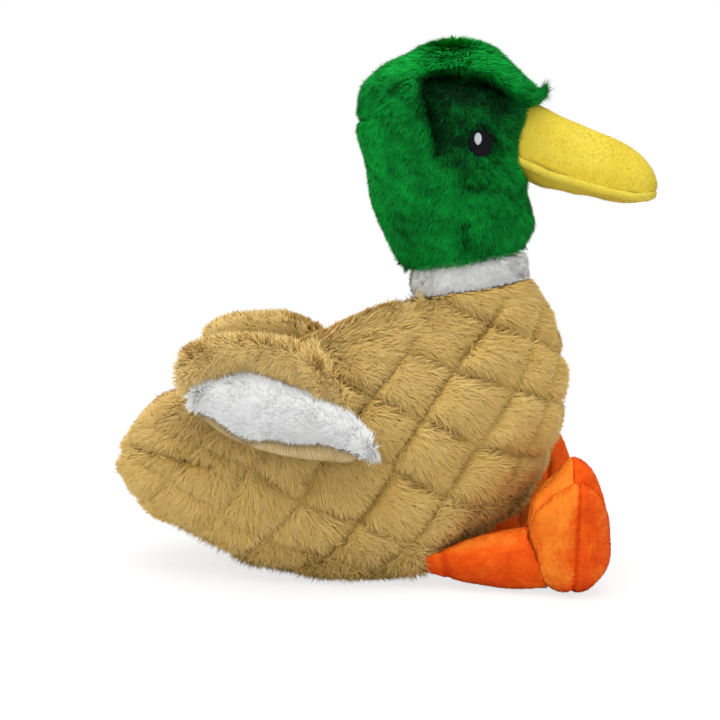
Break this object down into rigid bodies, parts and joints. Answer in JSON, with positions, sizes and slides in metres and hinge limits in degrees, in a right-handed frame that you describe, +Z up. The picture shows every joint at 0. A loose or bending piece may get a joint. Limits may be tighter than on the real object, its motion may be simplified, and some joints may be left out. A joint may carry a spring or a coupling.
{
  "type": "plush duck",
  "caption": "Stuffed mallard duck toy that sits with its legs forward, with a padded bill, quilted body, lifting wings and webbed feet.",
  "frame": {"origin": "on the floor, under the middle of the bounding box", "axes": "+Z up; the duck faces -Y, and its left side is at +X"},
  "size_m": [0.1454, 0.2536, 0.2483],
  "materials": {
    "tan_plush": "combed tan plush with a 7 mm pile, quilted on the body",
    "green_plush": "glossy green plush with a 6 mm pile",
    "white_plush": "white plush with a 6 mm pile",
    "yellow_minky": "yellow short-pile minky with a soft sheen",
    "orange_minky": "orange short-pile minky with a soft sheen",
    "beige_knit": "fine ribbed beige knit",
    "black_thread": "dense black satin stitch",
    "pale_thread": "pale grey satin stitch",
    "fibre_fill": "loose white polyester fibre"
  },
  "bodies": {
    "body": {"body_skin": "tan_plush", "body_stuffing": "fibre_fill"},
    "neck": {"neck_band": "white_plush", "neck_stuffing": "fibre_fill"},
    "head": {"head_skin": "green_plush", "head_stuffing": "fibre_fill", "bill_upper": "yellow_minky", "bill_lower": "yellow_minky", "bill_stuffing": "fibre_fill", "eye_left": "black_thread", "eye_right": "black_thread", "glint_left": "pale_thread", "glint_right": "pale_thread"},
    "left_wing": {"wing_fur_left": "tan_plush", "wing_stripe_left": "white_plush", "wing_lining_left": "beige_knit"},
    "right_wing": {"wing_fur_right": "tan_plush", "wing_stripe_right": "white_plush", "wing_lining_right": "beige_knit"},
    "left_leg": {"leg_left": "orange_minky", "leg_stuffing_left": "fibre_fill"},
    "right_leg": {"leg_right": "orange_minky", "leg_stuffing_right": "fibre_fill"},
    "left_foot": {"foot_left": "orange_minky"},
    "right_foot": {"foot_right": "orange_minky"}
  },
  "joints": [
    {"name": "head_turn", "type": "hinge", "parent": "body", "child": "neck", "pos_m": [0, -0.03848, 0.13377], "axis": [0, 0.1665, 0.986], "range_deg": [-25, 25], "stiffness_Nm_per_rad": 0.3},
    {"name": "head_nod", "type": "hinge", "parent": "neck", "child": "head", "pos_m": [0, -0.04047, 0.122], "axis": [1, 0, 0], "range_deg": [-10, 10], "stiffness_Nm_per_rad": 0.3},
    {"name": "wing_lift_left", "type": "hinge", "parent": "body", "child": "left_wing", "pos_m": [0.04764, 0.02181, 0.0907], "axis": [0.5008, -0.4787, -0.7211], "range_deg": [0, 70]},
    {"name": "wing_lift_right", "type": "hinge", "parent": "body", "child": "right_wing", "pos_m": [-0.04764, 0.02181, 0.0907], "axis": [0.5008, 0.4787, 0.7211], "range_deg": [0, 70]},
    {"name": "leg_swing_left", "type": "hinge", "parent": "body", "child": "left_leg", "pos_m": [0.04048, -0.01566, 0.00966], "axis": [0.7794, 0.173, 0.6022], "range_deg": [0, 75]},
    {"name": "leg_swing_right", "type": "hinge", "parent": "body", "child": "right_leg", "pos_m": [-0.04048, -0.01566, 0.00966], "axis": [0.7794, -0.173, -0.6022], "range_deg": [0, 75]},
    {"name": "foot_flex_left", "type": "hinge", "parent": "left_leg", "child": "left_foot", "pos_m": [0.04748, -0.07796, 0.0185], "axis": [1, 0, 0], "range_deg": [0, 25], "stiffness_Nm_per_rad": 0.02},
    {"name": "foot_flex_right", "type": "hinge", "parent": "right_leg", "child": "right_foot", "pos_m": [-0.04748, -0.07796, 0.0185], "axis": [1, 0, 0], "range_deg": [0, 25], "stiffness_Nm_per_rad": 0.02}
  ]
}
